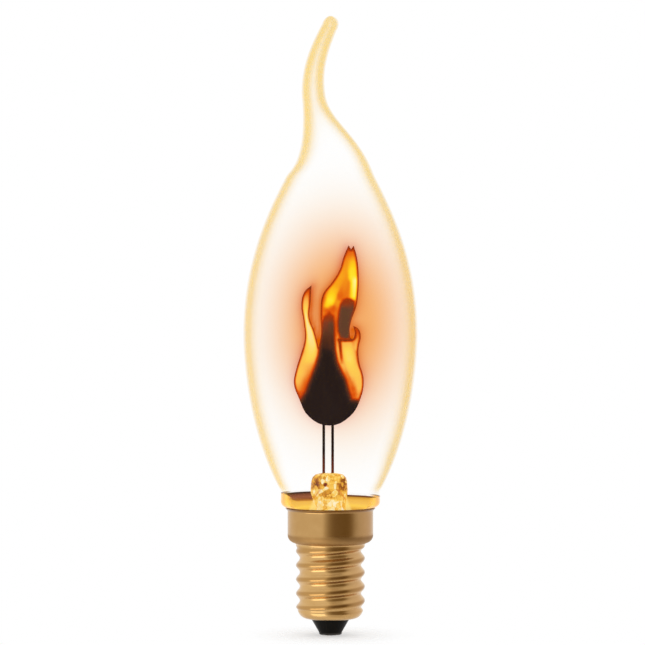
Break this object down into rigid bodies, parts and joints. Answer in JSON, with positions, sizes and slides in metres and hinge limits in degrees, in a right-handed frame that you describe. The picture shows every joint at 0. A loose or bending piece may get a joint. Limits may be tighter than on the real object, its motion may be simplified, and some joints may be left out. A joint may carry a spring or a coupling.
{
  "type": "decorative light bulb",
  "caption": "Candle-shaped clear glass bulb with a bent tail, glowing flame-shaped plates on wires over a glass stem, and a threaded brass screw cap with a black insulator.",
  "frame": {"origin": "on the lamp's axis, at the flat of the solder on the centre contact", "axes": "+Z from the contact to the glass tail, +Y to the back of the flame plates, and the tail sways to -X"},
  "size_m": [0.035, 0.035, 0.124],
  "materials": {
    "envelope_glass": "clear, thin, warm amber at the rim",
    "stem_glass": "clear, thick, amber",
    "plate_coating": "matt dark coating on thin sheet metal, glowing towards the tips",
    "support_wire": "dull, heat-darkened",
    "copper_clad_wire": "red copper cladding",
    "tinned_lead": "tinned copper",
    "solder": "dull grey",
    "resistor_lacquer": "tan lacquer",
    "brass": "drawn sheet, satin",
    "black_glass": "fused black glass",
    "cement": "baked cement"
  },
  "bodies": {
    "root": {"back_flame_plate": "plate_coating", "basing_cement": "cement", "cap_insulator": "black_glass", "cap_shell": "brass", "centre_solder": "solder", "contact_eyelet": "brass", "exhaust_tube": "stem_glass", "front_flame_plate": "plate_coating", "glass_envelope": "envelope_glass", "glass_stem": "stem_glass", "lead_splice": "solder", "left_outer_lead": "tinned_lead", "left_seal_wire": "copper_clad_wire", "left_support_wire": "support_wire", "resistor_body": "resistor_lacquer", "resistor_lower_lead": "tinned_lead", "resistor_upper_lead": "tinned_lead", "right_outer_lead": "tinned_lead", "right_seal_wire": "copper_clad_wire", "right_support_wire": "support_wire", "side_solder": "solder"}
  },
  "joints": []
}
